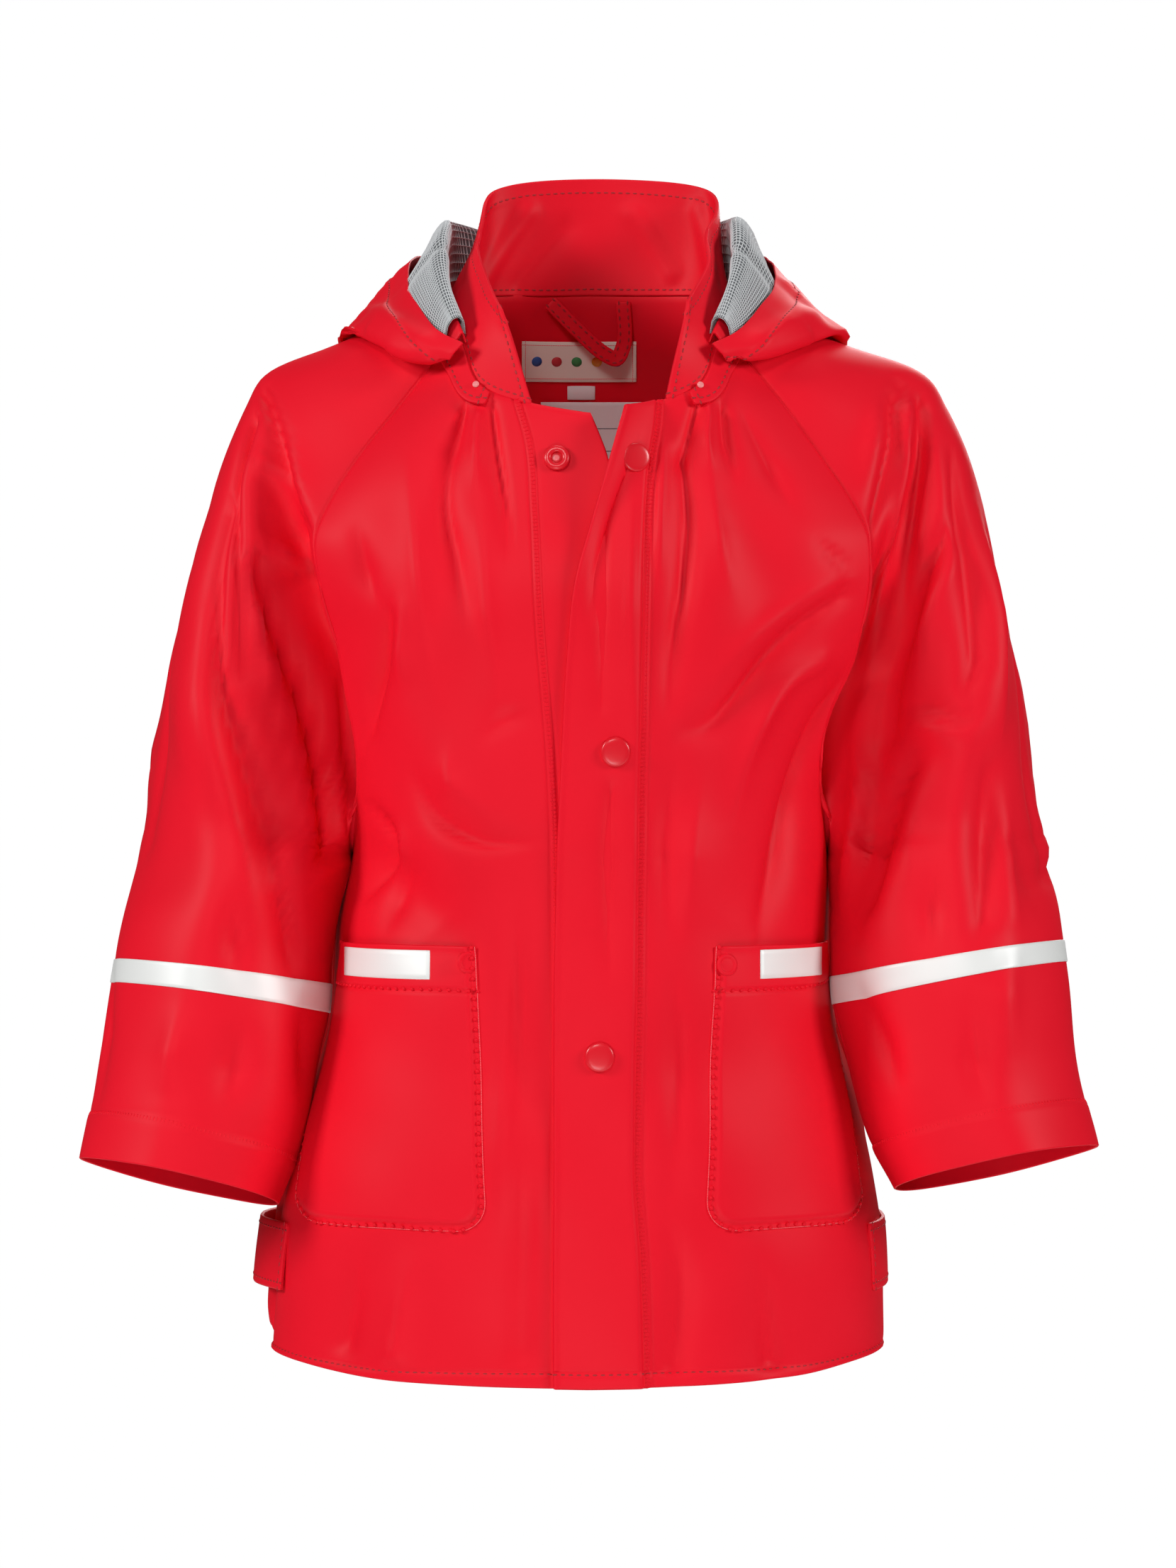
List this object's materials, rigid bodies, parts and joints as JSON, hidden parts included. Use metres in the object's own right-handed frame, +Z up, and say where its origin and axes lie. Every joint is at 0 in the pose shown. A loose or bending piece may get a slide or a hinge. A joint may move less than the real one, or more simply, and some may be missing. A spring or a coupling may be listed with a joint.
{
  "type": "child's hooded rain jacket, filled out as worn",
  "caption": "Child's raglan rain jacket of coated cloth with stand collar, hood thrown back, snap placket, patch pockets and reflective strips.",
  "frame": {"origin": "middle of the neck, level with the shoulders, where the garment rests on its wearer", "axes": "+X to the wearer's left, the viewer's right; -Y towards the viewer, out of the front; +Z up"},
  "size_m": [0.426, 0.2331, 0.511],
  "materials": {
    "coated_cloth": "satin polyurethane-coated cloth",
    "mesh_lining": "open knitted mesh",
    "reflective_strip": "retroreflective tape",
    "label": "woven satin tape",
    "snap": "satin moulded"
  },
  "bodies": {
    "root": {"back": "coated_cloth", "collar": "coated_cloth", "front_left": "coated_cloth", "front_right": "coated_cloth", "hanger_loop": "coated_cloth", "hood_lining": "mesh_lining", "hood_shell": "coated_cloth", "hood_tab_left": "coated_cloth", "hood_tab_right": "coated_cloth", "label_name": "label", "label_neck": "label", "label_size": "label", "placket_over": "coated_cloth", "placket_under": "coated_cloth", "pocket_left": "coated_cloth", "pocket_right": "coated_cloth", "sleeve_left": "coated_cloth", "sleeve_right": "coated_cloth", "snap_cap_1": "snap", "snap_cap_2": "snap", "snap_cap_3": "snap", "snap_socket": "snap", "snap_tab_left": "snap", "snap_tab_right": "snap", "strap_left": "coated_cloth", "strap_right": "coated_cloth", "strip_pocket_left": "reflective_strip", "strip_pocket_right": "reflective_strip", "strip_sleeve_left": "reflective_strip", "strip_sleeve_right": "reflective_strip"}
  },
  "joints": []
}
